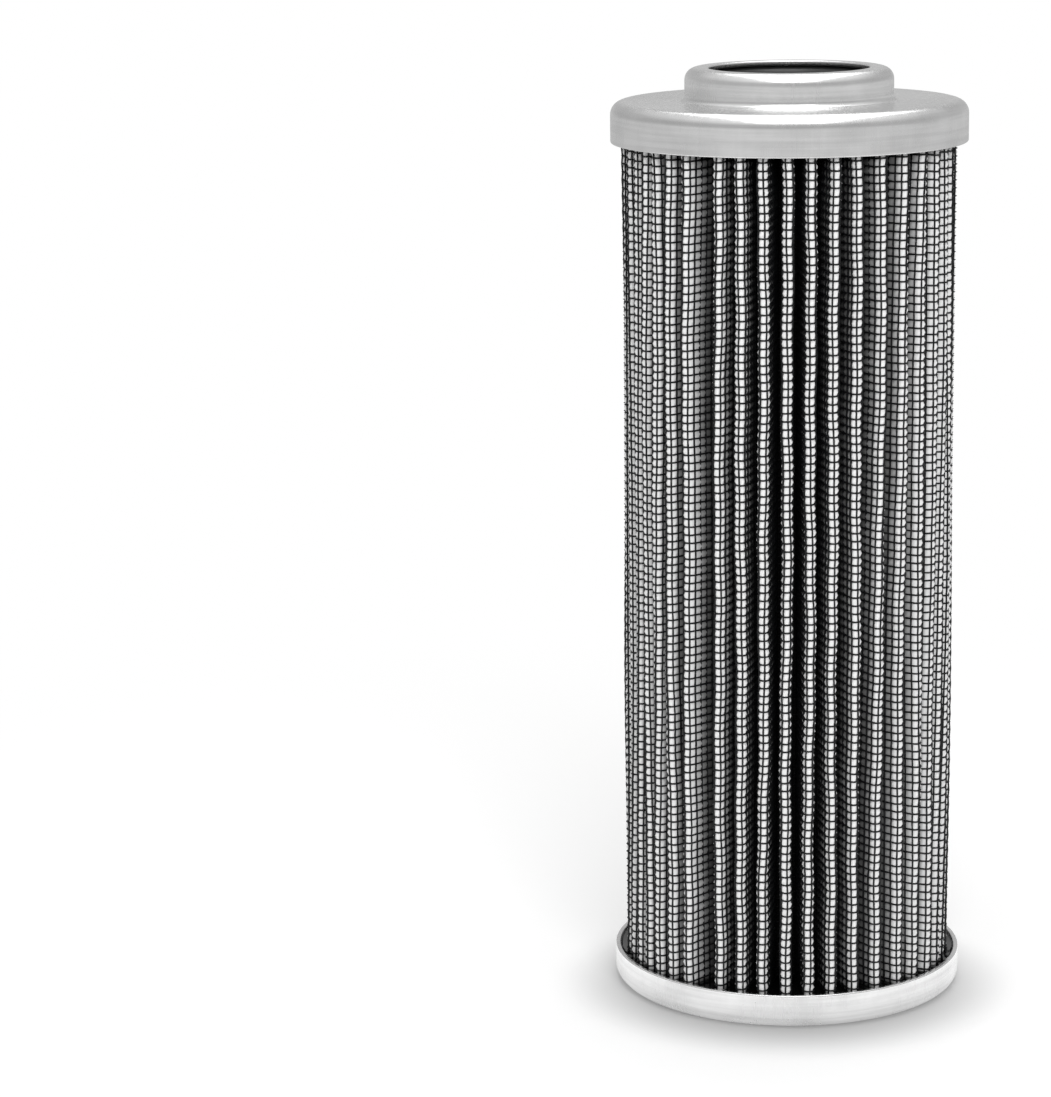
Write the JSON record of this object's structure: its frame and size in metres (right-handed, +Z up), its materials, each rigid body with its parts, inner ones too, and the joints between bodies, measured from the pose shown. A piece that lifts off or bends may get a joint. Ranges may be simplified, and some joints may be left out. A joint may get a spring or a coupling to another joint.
{
  "type": "pleated filter element",
  "caption": "Cylindrical pleated filter element: a wire-mesh-backed pleated pack between pressed steel end caps, with an O-ring sealed neck on top and a closed base.",
  "frame": {"origin": "middle of the underside of the closed bottom pan, on the plane that the element stands on", "axes": "+Z up the element's axis, out of the neck"},
  "size_m": [0.068, 0.068, 0.18],
  "materials": {
    "cap_steel": "plated sheet steel, satin",
    "seal_rubber": "moulded nitrile rubber",
    "retainer_steel": "bright plated sheet steel",
    "core_steel": "plain rolled sheet steel",
    "mesh_wire": "woven wire with a dark epoxy coat",
    "glass_fibre": "white glass-fibre sheet",
    "cast_resin": "black cast epoxy resin, glossy"
  },
  "bodies": {
    "root": {"top_end_cap": "cap_steel", "bottom_end_cap": "cap_steel", "neck_o_ring": "seal_rubber", "seal_retainer": "retainer_steel", "core_tube": "core_steel", "outer_wire_mesh": "mesh_wire", "filter_media": "glass_fibre", "inner_wire_mesh": "mesh_wire", "side_seam_bead": "cast_resin", "top_potting": "cast_resin", "bottom_potting": "cast_resin"}
  },
  "joints": []
}
